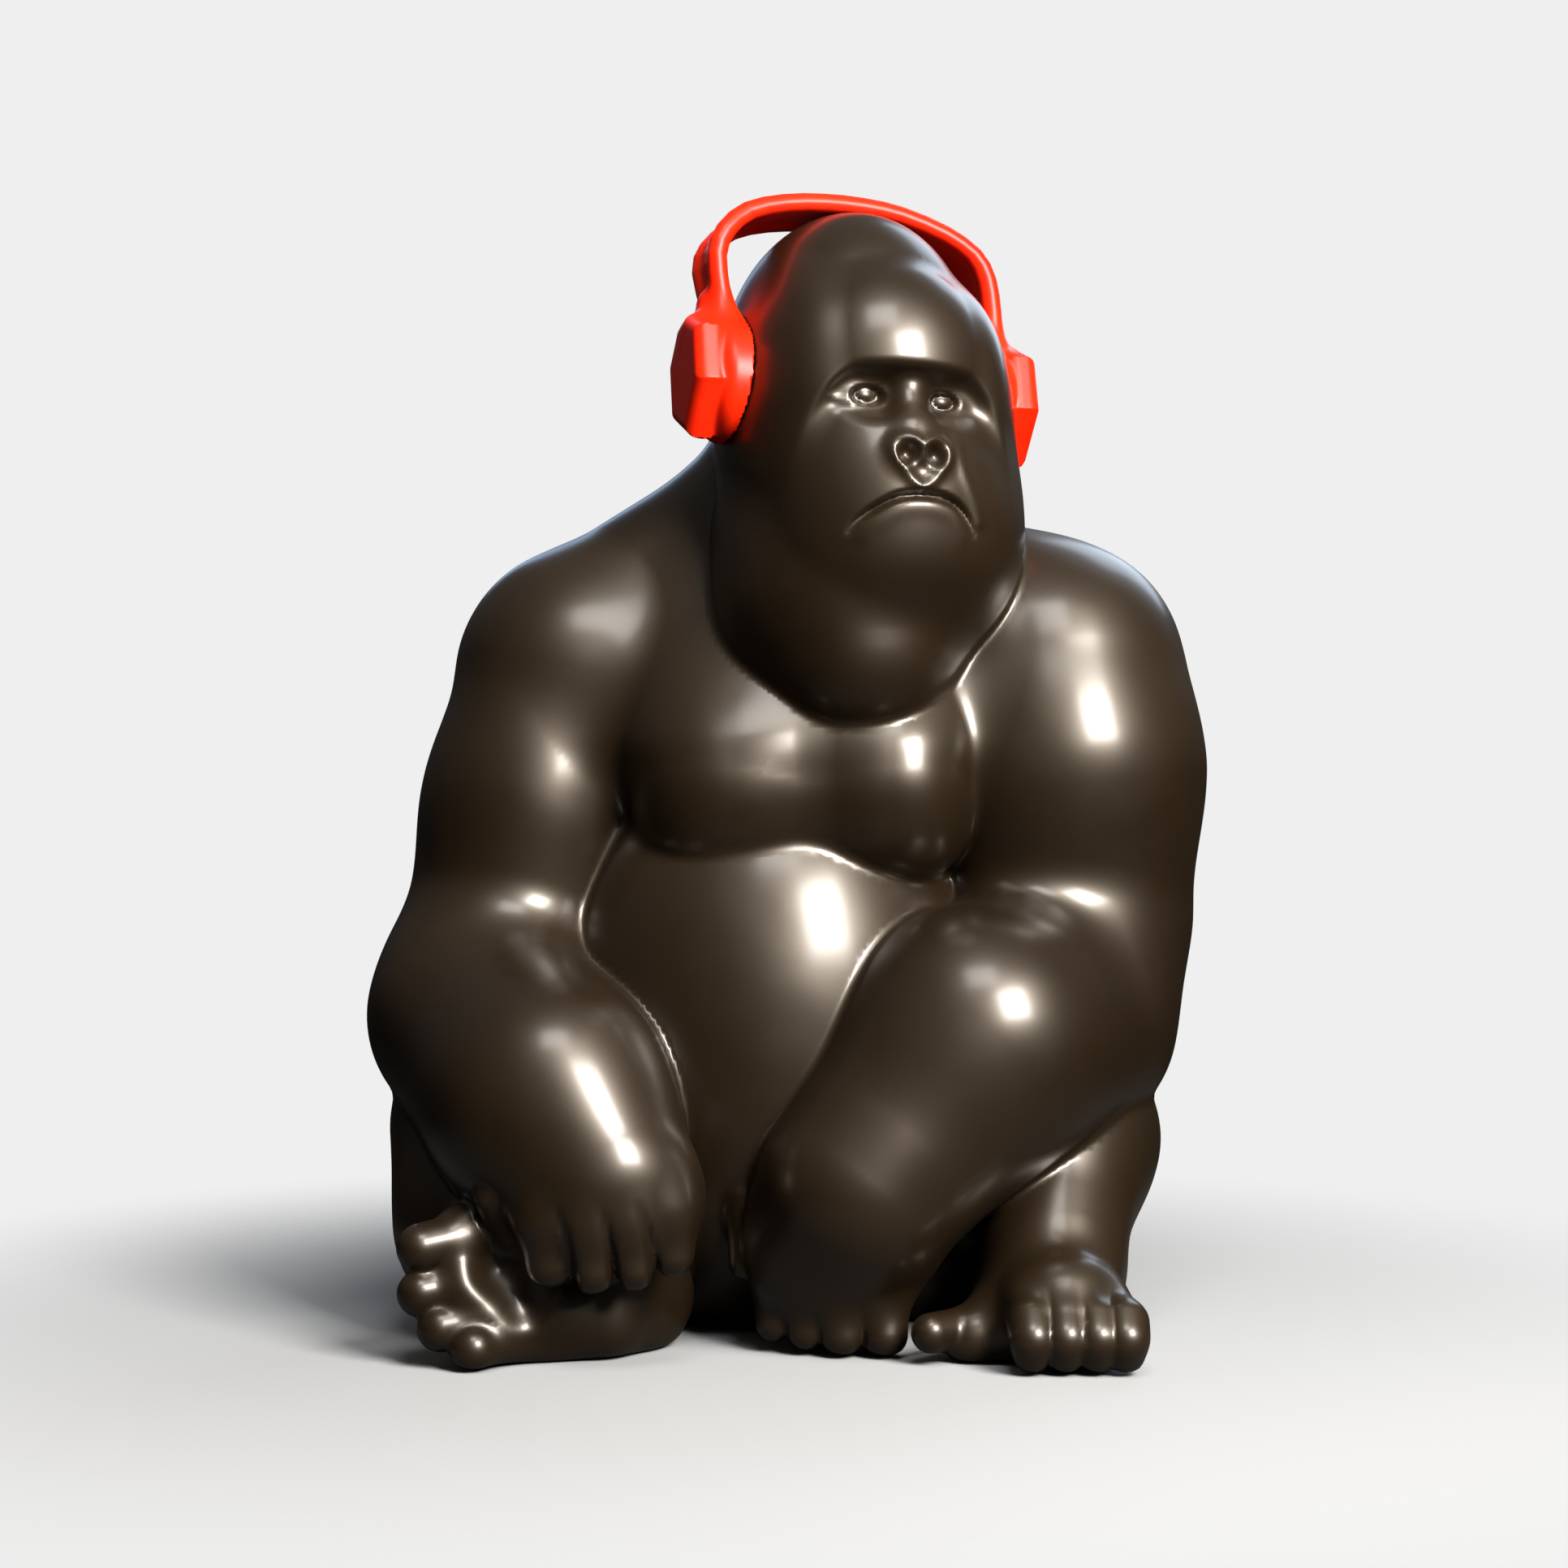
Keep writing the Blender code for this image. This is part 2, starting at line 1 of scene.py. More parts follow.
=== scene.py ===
"""Seated gorilla figurine wearing red headphones, cast in glossy resin.

The figure is modelled as clay: a solid given by its signed distance in millimetres, below
zero inside, in the same frame as the part's own source. +Z is up, the figure looks along -Y,
and left and right are the viewer's.
"""
import bpy
import numpy as np
from math import cos, pi, radians, sin
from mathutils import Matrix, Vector


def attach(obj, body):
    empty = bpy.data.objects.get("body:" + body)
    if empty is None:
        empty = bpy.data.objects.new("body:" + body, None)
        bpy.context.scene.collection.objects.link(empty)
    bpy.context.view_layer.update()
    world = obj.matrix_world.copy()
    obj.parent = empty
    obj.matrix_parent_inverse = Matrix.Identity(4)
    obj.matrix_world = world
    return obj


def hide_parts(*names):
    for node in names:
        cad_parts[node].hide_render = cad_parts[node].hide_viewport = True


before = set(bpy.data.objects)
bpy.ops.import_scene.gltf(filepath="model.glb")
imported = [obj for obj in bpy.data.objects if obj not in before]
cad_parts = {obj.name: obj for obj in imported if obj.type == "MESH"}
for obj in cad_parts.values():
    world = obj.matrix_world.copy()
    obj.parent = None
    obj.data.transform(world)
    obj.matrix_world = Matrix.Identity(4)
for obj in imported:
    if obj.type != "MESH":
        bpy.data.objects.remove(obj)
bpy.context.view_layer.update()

# Gorilla
# One hollow resin casting of the whole seated animal, polished and sprayed with a clear gloss
# coat. It stands on its flat underside, on both feet and on the fingertips of one hand.
MM = 0.001
# Widths of the blends between two limbs: a crease, a soft fold and the slope of a shoulder
CRISP = 2.5
SOFT = 14
SHOULDER_BLEND = 18
FLOOR_ROUND = 3
# Point between the ears, about which the head is turned to the viewer's right and tilted
EARS = (22, -12, 268.5)
HEAD_YAW = 18
HEAD_ROLL = 3


def ease(x, start, end):
    """Rises smoothly from 0 at start to 1 at end."""
    t = np.clip((x - start) / (end - start), 0, 1)
    return t * t * (3 - 2 * t)


def turn_x(degrees):
    """A turn about the axis across the figure."""
    c, s = cos(radians(degrees)), sin(radians(degrees))
    return np.array([[1, 0, 0], [0, c, -s], [0, s, c]])


def turn_y(degrees):
    """A turn about the axis from front to back."""
    c, s = cos(radians(degrees)), sin(radians(degrees))
    return np.array([[c, 0, s], [0, 1, 0], [-s, 0, c]])


def turn_z(degrees):
    """A turn about the upright axis."""
    c, s = cos(radians(degrees)), sin(radians(degrees))
    return np.array([[c, -s, 0], [s, c, 0], [0, 0, 1]])


HEAD_TURN = turn_z(HEAD_YAW) @ turn_y(HEAD_ROLL)


def ball(p, centre, radii, turn=None, power=2):
    """An ellipsoid, squarer with a higher power."""
    q = p - np.array(centre, float)
    if turn is not None:
        q = q @ turn
    r = np.array(radii, float)
    share = np.abs(q / r)
    size = (share ** power).sum(1) ** (1 / power) + 1e-9
    rise = share ** (power - 1) / r / (size ** (power - 1))[:, None]
    return (size - 1) / (np.sqrt((rise * rise).sum(1)) + 1e-9)


def limb(p, start, end):
    """A round cone between two balls, each (x, y, z, radius)."""
    a, b = np.array(start[:3], float), np.array(end[:3], float)
    ra, rb = start[3], end[3]
    along = b - a
    length2 = along @ along
    step = ra - rb
    slant2 = length2 - step * step
    pa = p - a
    y = pa @ along
    z = y - length2
    side = pa * length2 - y[:, None] * along
    x2 = (side * side).sum(1)
    y2 = y * y * length2
    z2 = z * z * length2
    k = np.sign(step) * step * step * x2
    out = (np.sqrt(x2 * slant2 / length2) + y * step) / length2 - ra
    out = np.where(np.sign(y) * slant2 * y2 < k, np.sqrt(x2 + y2) / length2 - ra, out)
    return np.where(np.sign(z) * slant2 * z2 > k, np.sqrt(x2 + z2) / length2 - rb, out)


def melt(a, b, blend):
    """Joins two solids with a fillet about as wide as the blend."""
    h = np.maximum(blend - np.abs(a - b), 0) / blend
    return np.minimum(a, b) - h * h * blend / 4


def bite(a, b, blend):
    """Takes solid b out of solid a."""
    return -melt(-a, b, blend)


def chain(p, balls, blend=SOFT):
    """A limb through several balls."""
    out = limb(p, balls[0], balls[1])
    for start, end in zip(balls[1:], balls[2:]):
        out = melt(out, limb(p, start, end), blend)
    return out


def joined(solids, blend):
    """Melts several solids into one, such as the fingers of a hand."""
    out = solids[0]
    for solid in solids[1:]:
        out = melt(out, solid, blend)
    return out


def within(p, centre, reach, shape, beyond=30):
    """The shape near its own place, and a plain bound far from it."""
    out = np.linalg.norm(p - np.array(centre, float), axis=1) - reach
    near = out < beyond
    if near.any():
        out[near] = shape(p[near])
    return out


def curve_through(points, per_span=3):
    """A smooth line through the points."""
    pts = np.array(points, float)
    pts = np.vstack([2 * pts[0] - pts[1], pts, 2 * pts[-1] - pts[-2]])
    t = np.arange(per_span)[:, None] / per_span
    spans = [0.5 * (2 * b + (c - a) * t + (2 * a - 5 * b + 4 * c - d) * t ** 2
                    + (3 * b - a - 3 * c + d) * t ** 3)
             for a, b, c, d in zip(pts, pts[1:], pts[2:], pts[3:])]
    return np.vstack(spans + [pts[-2:-1]])


def from_line(p, line):
    """Distance to a line of straight spans."""
    best = np.full(len(p), 1e9)
    for a, b in zip(line, line[1:]):
        along = b - a
        t = np.clip((p - a) @ along / (along @ along), 0, 1)
        best = np.minimum(best, ((p - a - t[:, None] * along) ** 2).sum(1))
    return np.sqrt(best)


def press(body, flat, line, width, depth, where):
    """Sinks the surface by depth along a flat line, or raises it where depth is negative."""
    near = (flat > line.min(0) - 3 * width).all(1) & (flat < line.max(0) + 3 * width).all(1)
    out = body.copy()
    out[near] += depth * np.exp(-(from_line(flat[near], line) / width) ** 2) * where[near]
    return out


def torso(p):
    """Back, chest and belly. The chest hangs over the belly in front."""
    y, z = p[:, 1], p[:, 2]
    back = melt(ball(p, (0, 30, 140), (82, 50, 92)), ball(p, (6, 24, 192), (90, 42, 40)), 25)
    upper = melt(back, ball(p, (5, 8, 174), (62, 42, 44)), 20)
    lean = turn_x(15)
    chest = melt(ball(p, (-16, -9, 157), (31, 42, 31), lean, 2.3),
                 ball(p, (28, -9, 157.5), (27, 41.5, 30.5), lean, 2.3), 8)
    chest = melt(chest, ball(p, (5, -8, 157), (45, 39, 28.5), lean, 2.3), 7)
    upper = melt(upper, chest, 4 + 20 * ease(z, 142, 170))
    belly = ball(p, (-6, 6, 80), (66, 66, 92))
    low = melt(belly, ball(p, (-4, 34, 45), (84, 50, 64)), 20)
    return melt(upper, low, CRISP + 22 * ease(y, 5, 45))


ELBOW_BLEND = 11


def right_arm(p):
    """The arm on the viewer's left, whose hand hangs over the foot."""
    upper = chain(p, [(-66, 10, 186, 32.5), (-75, 2, 150, 29.5), (-82, 0, 106, 32.5)])
    fore = chain(p, [(-86.5, -13, 89, 35), (-66, -53, 69, 31.5), (-50, -69, 50, 24.5)])
    hand = melt(fore, ball(p, (-48, -73, 44), (25, 16, 19)), 8)
    fingers = [chain(p, [(x - 3, y + 5, z + 24, radius), (x - 1, y, z + 11, radius + 0.4),
                         (x, y, z, radius)], 4)
               for x, y, z, radius in ((-63.5, -80.5, 28.5, 6.4), (-52, -84, 27.5, 6.5),
                                       (-41, -83.5, 28, 6.2), (-31.3, -79, 30.5, 6))]
    hand = melt(hand, joined(fingers, 0.9), 6)
    face_on = p[:, [0, 2]]
    front = ease(-p[:, 1], 62, 72)
    for x, tall in ((-57.5, 17), (-46.5, 21), (-36, 19)):
        between = np.array([(x - 4, 30 + tall), (x - 1, 38), (x + 1, 24)])
        hand = press(hand, face_on, between, 1.5, 1.4, front * (1 - ease(p[:, 2], 34, 48)))
    return melt(upper, hand, ELBOW_BLEND)


def left_arm(p):
    """The arm on the viewer's right, whose fingertips rest on the ground."""
    upper = chain(p, [(76, 10, 186, 41.5), (79, 2, 160, 40), (83.5, 1.5, 118, 35)])
    fore = chain(p, [(76, -16, 88, 35.5), (52, -42, 83, 36), (20, -58, 46, 29)])
    hand = melt(fore, ball(p, (13, -56, 30), (26, 17, 24)), 8)
    fingers = [limb(p, (x, y + 7, z + 24, radius + 1.5), (x, y, z, radius))
               for x, y, z, radius in ((-4, -55, 8, 5.3), (4.8, -59, 6.5, 5.3), (14.5, -62, 6, 6),
                                       (26, -62.5, 6, 6.3))]
    hand = melt(hand, joined(fingers, 1.2), 5)
    thumb = limb(p, (-12, -50, 42, 5.5), (-12, -53, 24, 4.6))
    return melt(melt(upper, hand, 1.5 * ELBOW_BLEND), thumb, 1.2)


def right_leg(p):
    """Folded flat on the ground, with the sole turned to the viewer."""
    leg = chain(p, [(-40, 30, 50, 42), (-80.5, -12, 57, 31), (-80, -28, 32, 28.5),
                    (-52, -50, 22, 20)])
    foot = ball(p, (-60, -55, 14), (36, 17, 24), turn_z(24))
    rim = chain(p, [(-80, -63, 42, 6), (-73, -64.5, 35, 6.5), (-67.5, -66, 26, 7),
                    (-62, -66, 15, 9), (-50, -62, 10, 10)], 5)
    foot = melt(foot, rim, 5)
    foot = melt(foot, chain(p, [(-88, -66, 33, 9), (-87, -68, 20, 10.5), (-80, -70, 9, 9.5)], 5), 7)
    hollow = chain(p, [(-82, -76, 37, 3), (-76.5, -77, 27, 5.6), (-70, -78, 17, 4)], 4)
    foot = bite(foot, hollow, 6)
    for root, tip in (((-88, -68, 33, 7), (-98.5, -74, 31.5, 6.6)),
                      ((-88, -70, 21, 6.5), (-98.5, -75, 19.5, 6.3)),
                      ((-82, -73, 12, 6.3), (-93, -77, 10.5, 6.2)),
                      ((-77, -71, 6, 6), (-84, -80, 5.5, 6.2)),
                      ((-76, -66, 36, 6.5), (-79.5, -74, 45.5, 5))):
        foot = melt(foot, limb(p, root, tip), 2)
    return melt(leg, foot, 6)


def left_leg(p):
    """Knee out to the side, with the foot flat and pointing at the viewer."""
    leg = chain(p, [(40, 30, 52, 42), (75.5, -14, 54, 28), (74, -46, 28, 19.5)])
    foot = chain(p, [(71.5, -46, 16, 20), (73.5, -68, 13, 17.5)])
    foot = melt(foot, chain(p, [(62, -58, 7, 14), (50, -66, 6, 9)]), 8)
    foot = melt(foot, limb(p, (48, -64, 8, 6), (38, -73, 8.5, 5.4)), 1.6)
    leg = melt(leg, ball(p, (44, 10, 14), (30, 30, 22)), 8)
    toes = [chain(p, [(x - lean, -69, 18.5, 5.2), (x, -83, 13, 6), (x, -87, 9.5, 5.6),
                      (x, -86, 5, 4.9)], 3)
            for x, lean in ((64, 0), (72.8, 0.5), (81.2, 1.5), (88.6, 3.5))]
    foot = melt(foot, joined(toes, 0.9), 4)
    return melt(leg, foot, 8)


# Lines on the face, seen from straight ahead as (across, up) from the ears
MOUTH_LINE = curve_through([(-18.8, -45), (-16.4, -42), (-12, -38.6), (-7.4, -35.8),
                            (-2.6, -34.5), (2.4, -34.2), (7, -34.8), (11, -36.4),
                            (14.2, -39.4), (17, -43.6)])
NOSE_LINE = curve_through([(0, -32.6), (-2.8, -29.8), (-5.6, -26.6), (-7.7, -24),
                           (-8.3, -21.4), (-7.2, -19.2), (-4.8, -18.3), (-2.3, -18.8),
                           (0, -20.1), (2.3, -18.8), (4.8, -18.3), (7.2, -19.2),
                           (8.3, -21.4), (7.7, -24), (5.6, -26.6), (2.8, -29.8),
                           (0, -32.6)], 2)
CHEEK_LINE = curve_through([(11.6, -20), (12.9, -26), (14.9, -31), (16.9, -35.5), (18.4, -40)])
EYE_CORNER_LINE = curve_through([(-22.6, -7.4), (-19.6, -8.2), (-17, -8.8)], 2)
EYE_MIDDLE = -0.9
EYE_SPREAD = 11.3
BROW_HEIGHT = 2.8


def eyes(face, q):
    """A ball between two lids, at each side of the nose's bridge."""
    for side in (-1, 1):
        across = EYE_MIDDLE + side * EYE_SPREAD
        face = melt(face, ball(q, (across, -31.2, -6.6), (8, 5.6, 5)), 4)
        face = bite(face, ball(q, (across, -39, -6.4), (5.6, 4.6, 2.9)), 1)
        face = melt(face, ball(q, (across, -31.6, -6.4), (4.7, 4.8, 3.6)), 0.6)
    return face


def nose(face, q, face_on, front):
    """A heart-shaped rim around two curled nostrils."""
    face = melt(face, chain(q, [(0, -34, 2, 4.5), (0, -36.8, -7, 4.2), (0, -41.5, -17, 7)], 3), 3.5)
    face = melt(face, ball(q, (0, -41.5, -25), (10, 10.2, 8.8)), 4)
    face = press(face, face_on, NOSE_LINE, 1.6, -0.9, front)
    face = bite(face, ball(q, (0, -55.4, -27), (4.5, 5, 3.6)), 3)
    for side in (-1, 1):
        face = bite(face, ball(q, (side * 4.2, -53, -23), (3, 5.4, 3.2)), 1.8)
    return face


def mouth(face, face_on, front):
    """The upper lip hangs over the lower one."""
    fading = front * (1 - ease(np.abs(face_on[:, 0] + 1), 11, 20))
    face = press(face, face_on, MOUTH_LINE, 1.2, 2.2, fading)
    lower_lip = (MOUTH_LINE - (-1, -34)) * 0.8 + (-1, -37.4)
    return press(face, face_on, lower_lip, 2.6, -0.35, fading)


def head(p):
    """Skull, heavy brow, jaw and chin, made straight ahead and then turned."""
    q = (p - np.array(EARS)) @ HEAD_TURN
    from_middle = np.abs(q[:, 0])
    face_on = q[:, [0, 2]]
    front = ease(-q[:, 1], 5, 20)
    skull = ball(q, (-2, 11, 6), (37, 44, 47.5))
    face = melt(skull, ball(q, (2.5, -3, -30), (41, 39, 41)), 26)
    eye_band = chain(q, [(-24, -41, -5.5, 5), (-12, -45, -5.5, 9.5), (12, -45, -5.5, 9.5),
                         (24, -41, -5.5, 5)], 6)
    face = bite(face, eye_band, 4)
    forehead = ball(q, (0, -14.5, -1), (33, 30, 37))
    brow_front = -44.5 + 0.012 * from_middle ** 2
    brow_edge = BROW_HEIGHT - 0.045 * np.maximum(from_middle - 14, 0) ** 2
    over_brow = (q[:, 2] - brow_edge + 0.8 * (q[:, 1] - brow_front)) * 0.7
    forehead = -melt(-forehead, over_brow, 1.4)
    face = melt(face, forehead, 2.5 + 14 * ease(from_middle, 13, 31))
    face = melt(face, ball(q, (0.5, -21, -34), (29, 30, 25)), SOFT)
    face = melt(face, ball(q, (1, -20, -50), (30, 28, 21)), SOFT)
    face = melt(face, ball(q, (0, -10, -61), (32, 27, 21)), 10)
    face = melt(face, limb(p, (34, -17, 222, 28), (11, -29, 201, 21)), 20)
    face = eyes(face, q)
    face = nose(face, q, face_on, front)
    face = mouth(face, face_on, front)
    face = press(face, face_on, CHEEK_LINE, 2, -0.5, front)
    return press(face, face_on, EYE_CORNER_LINE, 1.3, -0.2, front)


def neck(p):
    """The nape, and the slopes from the head to both shoulders."""
    nape = chain(p, [(16, 20, 246, 35), (6, 30, 205, 44)])
    slopes = melt(limb(p, (7, 24, 243, 27), (-64, 16, 202.5, 20)),
                  limb(p, (22, 22, 226, 26), (86, 16, 198, 20)), 10)
    return melt(nape, slopes, 16)


def throat(p):
    """The fold of the throat, whose tip hangs over the chest."""
    return chain(p, [(19, -10, 230, 41), (17, -18.5, 207, 35), (20, -33, 190.8, 22.3)], SOFT)


def gorilla(p):
    """The whole figure, with creases in front, soft blends behind and a flat underside."""
    behind = ease(p[:, 1], -5, 35)
    body = melt(torso(p), neck(p), 16)
    for arm, shoulder, arm_middle in ((right_arm, (-66, 10, 190), (-62, -30, 125)),
                                      (left_arm, (76, 10, 188), (58, -25, 115))):
        from_shoulder = np.linalg.norm(p - np.array(shoulder), axis=1)
        blend = SHOULDER_BLEND + (CRISP - SHOULDER_BLEND) * ease(from_shoulder, 30, 70)
        body = melt(body, within(p, arm_middle, 120, arm), blend)
    body = melt(body, within(p, (-60, -10, 35), 75, right_leg), CRISP)
    body = melt(body, within(p, (62, -10, 45), 85, left_leg), CRISP)
    body = melt(body, within(p, (19, -20, 215), 70, throat), CRISP + SOFT * behind)
    body = melt(body, within(p, EARS, 80, head), CRISP + SOFT * behind)
    return -melt(-body, p[:, 2], FLOOR_ROUND)


# The clay's skin: a grid cell has eight corners, numbered by their bits along x, y and z
CELLS = 6
CORNERS = [(n & 1, n >> 1 & 1, n >> 2 & 1) for n in range(8)]
EDGES = [(a, b) for a in range(8) for b in range(a + 1, 8) if a ^ b in (1, 2, 4)]
SIDES = ((0, 4, 6, 2), (1, 3, 7, 5), (0, 1, 5, 4), (2, 6, 7, 3), (0, 2, 3, 1), (4, 5, 7, 6))


def edge_between(a, b):
    """Number of the edge between two corners of a cell."""
    return EDGES.index((min(a, b), max(a, b)))


def cut_loops(inside):
    """Loops of cut edges around the solid corners of a cell."""
    after = {}
    for side in SIDES:
        solid = [corner in inside for corner in side]
        for k in range(4):
            if solid[k] and not solid[(k + 1) % 4]:
                first = k
                while solid[(first - 1) % 4]:
                    first -= 1
                entering = edge_between(side[first % 4], side[(first - 1) % 4])
                after[entering] = edge_between(side[k], side[(k + 1) % 4])
    loops = []
    while after:
        loop = [min(after)]
        following = after.pop(loop[0])
        while following != loop[0]:
            loop.append(following)
            following = after.pop(following)
        loops.append(loop)
    return loops


def fan(loop):
    """Triangles over a loop, with no diagonal lying in a side of the cell."""

    def flat_diagonals(turned):
        ends = [set(EDGES[turned[0]]) | set(EDGES[turned[k]]) for k in range(2, len(loop) - 1)]
        return sum(any(pair <= set(side) for side in SIDES) for pair in ends)

    turned = min((loop[s:] + loop[:s] for s in range(len(loop))), key=flat_diagonals)
    return [(turned[0], turned[k], turned[k + 1]) for k in range(1, len(loop) - 1)]


def cell_triangles(pattern):
    """Triangles for one pattern of solid corners, as triples of edges."""
    inside = {corner for corner in range(8) if pattern >> corner & 1}
    return [triangle for loop in cut_loops(inside) for triangle in fan(loop)]


def grid_lines(low, high, coarse, *bands):
    """Grid positions along one axis, closer together over each band of (start, end, spacing)."""
    runs = []
    here = low
    for start, end, fine in bands:
        runs.append(np.linspace(here, start, int((start - here) / coarse) + 2)[:-1])
        runs.append(np.linspace(start, end, int((end - start) / fine) + 2)[:-1])
        here = end
    runs.append(np.linspace(here, high, int((high - here) / coarse) + 2))
    spots = np.concatenate(runs)
    spare = -(len(spots) - 1) % CELLS
    return np.concatenate([spots, high + coarse * np.arange(1, spare + 1)])


def skin(solid, axes):
    """Points and triangles of the solid's surface over a grid with these lines along x, y and z."""
    blocks = [len(spots) // CELLS for spots in axes]
    places = np.stack(np.meshgrid(*[np.arange(n) for n in blocks], indexing="ij"), -1)
    places = places.reshape(-1, 3)
    low, high = (np.stack([spots[places[:, k] * CELLS + end] for k, spots in enumerate(axes)], 1)
                 for end in (0, CELLS))
    # A block is left out where the surface lies well beyond its corners
    near = 0.8 * np.linalg.norm(high - low, axis=1)
    places = places[np.abs(solid((low + high) / 2)) < near]
    local = np.stack(np.meshgrid(*[np.arange(CELLS + 1)] * 3, indexing="ij"), -1)
    index = places[:, None, None, None, :] * CELLS + local
    nodes = np.array([len(spots) for spots in axes])

    def spot(at):
        """The place of a grid position, whole or between two lines."""
        return np.stack([np.interp(at[..., k], np.arange(nodes[k]), axes[k]) for k in range(3)], -1)

    values = np.concatenate([solid(spot(part).reshape(-1, 3)).reshape(part.shape[:-1])
                             for part in np.array_split(index, len(index) // 500 + 1)])
    number = (index[..., 0] * nodes[1] + index[..., 1]) * nodes[2] + index[..., 2]

    def per_cell(field):
        """The field at each of the eight corners, for every cell."""
        return np.array([field[:, i:i + CELLS, j:j + CELLS, k:k + CELLS].reshape(-1)
                         for i, j, k in CORNERS])

    corner_number, corner_value = per_cell(number), per_cell(values)
    pattern = sum((corner_value[corner] < 0).astype(int) << corner for corner in range(8))
    keys, spots = [], []
    for found in np.unique(pattern):
        cells = np.where(pattern == found)[0]
        for triangle in cell_triangles(found):
            for edge in triangle:
                a, b = EDGES[edge]
                place_a, place_b = (np.stack(np.unravel_index(corner_number[c][cells], nodes), -1)
                                    for c in (a, b))
                value_a, value_b = corner_value[a][cells], corner_value[b][cells]
                share = value_a / (value_a - value_b)
                keys.append(corner_number[a][cells] * 3 + (1, 2, 4).index(a ^ b))
                spots.append(place_a + share[:, None] * (place_b - place_a))
    keys = np.concatenate([np.stack(keys[n:n + 3], 1) for n in range(0, len(keys), 3)])
    spots = np.concatenate([np.stack(spots[n:n + 3], 1) for n in range(0, len(spots), 3)])
    _, first, triangles = np.unique(keys.reshape(-1), return_index=True, return_inverse=True)
    return spot(spots.reshape(-1, 3)[first]), triangles.reshape(-1, 3)


def slope(solid, points, reach=0.05):
    """How fast the distance grows along x, y and z."""
    rise = [solid(points + step) - solid(points - step) for step in np.eye(3) * reach]
    return np.stack(rise, 1) / (2 * reach)


def settle(solid, points, furthest=0.8):
    """Moves each point onto the surface along its slope."""
    rise = slope(solid, points)
    move = -solid(points)[:, None] * rise / np.maximum((rise * rise).sum(1, keepdims=True), 0.05)
    length = np.maximum(np.linalg.norm(move, axis=1, keepdims=True), 1e-9)
    return points + move * np.minimum(1, furthest / length)


# The clay's own middle isn't the footprint's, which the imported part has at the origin
FOOTPRINT_SHIFT = np.array([-0.0002897, 0.0054771, 0.0])


def casting(name, solid, axes, most_triangles):
    """A smooth mesh of the solid, thinned to so many triangles and shaded from its slope."""
    points, faces = skin(solid, axes)
    mesh = bpy.data.meshes.new(name)
    mesh.from_pydata((settle(solid, points) * MM).tolist(), [], faces.tolist())
    piece = bpy.data.objects.new(name, mesh)
    bpy.context.scene.collection.objects.link(piece)
    if len(faces) > most_triangles:
        thinner = piece.modifiers.new("fewer_triangles", "DECIMATE")
        thinner.ratio = most_triangles / len(faces)
        graph = bpy.context.evaluated_depsgraph_get()
        mesh = bpy.data.meshes.new_from_object(piece.evaluated_get(graph))
        piece.modifiers.remove(thinner)
        piece.data = mesh
    spots = np.empty(len(mesh.vertices) * 3)
    mesh.vertices.foreach_get("co", spots)
    spots = settle(solid, spots.reshape(-1, 3) / MM)
    lean = slope(solid, spots)
    lean /= np.maximum(np.linalg.norm(lean, axis=1, keepdims=True), 1e-9)
    mesh.vertices.foreach_set("co", (spots * MM + FOOTPRINT_SHIFT).ravel())
    mesh.shade_smooth()
    mesh.normals_split_custom_set_from_vertices(lean.tolist())
    return piece


# The grid is finer over the face, the hands and the feet
figure = casting("gorilla_figure", gorilla,
                 [grid_lines(-130, 135, 1.5, (-2, 62, 0.9)),
                  grid_lines(-110, 100, 1.9, (-92, -40, 1.1)),
                  grid_lines(-6, 330, 1.9, (0, 50, 1.1), (222, 276, 0.9))], most_triangles=220000)


def shader_of(name):
    """A new material with its node tree, its links and its Principled shader."""
    material = bpy.data.materials.new(name)
    material.use_nodes = True
    tree = material.node_tree
    return material, tree, tree.nodes["Principled BSDF"]


def noise(tree, place, scale, detail):
    """A cloudy pattern between 0 and 1."""
    node = tree.nodes.new("ShaderNodeTexNoise")
    node.inputs["Scale"].default_value = scale
    node.inputs["Detail"].default_value = detail
    tree.links.new(place, node.inputs["Vector"])
    return node.outputs["Fac"]


def ramp(tree, value, *stops):
    """A colour ramp with stops of (position, colour)."""
    node = tree.nodes.new("ShaderNodeValToRGB")
    tree.links.new(value, node.inputs["Fac"])
    elements = node.color_ramp.elements
    for element, (at, colour) in zip(elements, (stops[0], stops[-1])):
        element.position = at
        element.color = (*colour, 1)
    for at, colour in stops[1:-1]:
        elements.new(at).color = (*colour, 1)
    return node.outputs["Color"]


def new_group(name, values, results):
    """A shader node group with float inputs and outputs of the given kinds."""
    group = bpy.data.node_groups.new(name, "ShaderNodeTree")
    for label, default in values:
        socket = group.interface.new_socket(label, in_out="INPUT", socket_type="NodeSocketFloat")
        socket.default_value = default
    for label, kind in results:
        group.interface.new_socket(label, in_out="OUTPUT", socket_type=kind)
    given = group.nodes.new("NodeGroupInput").outputs
    return group, given, group.nodes.new("NodeGroupOutput").inputs


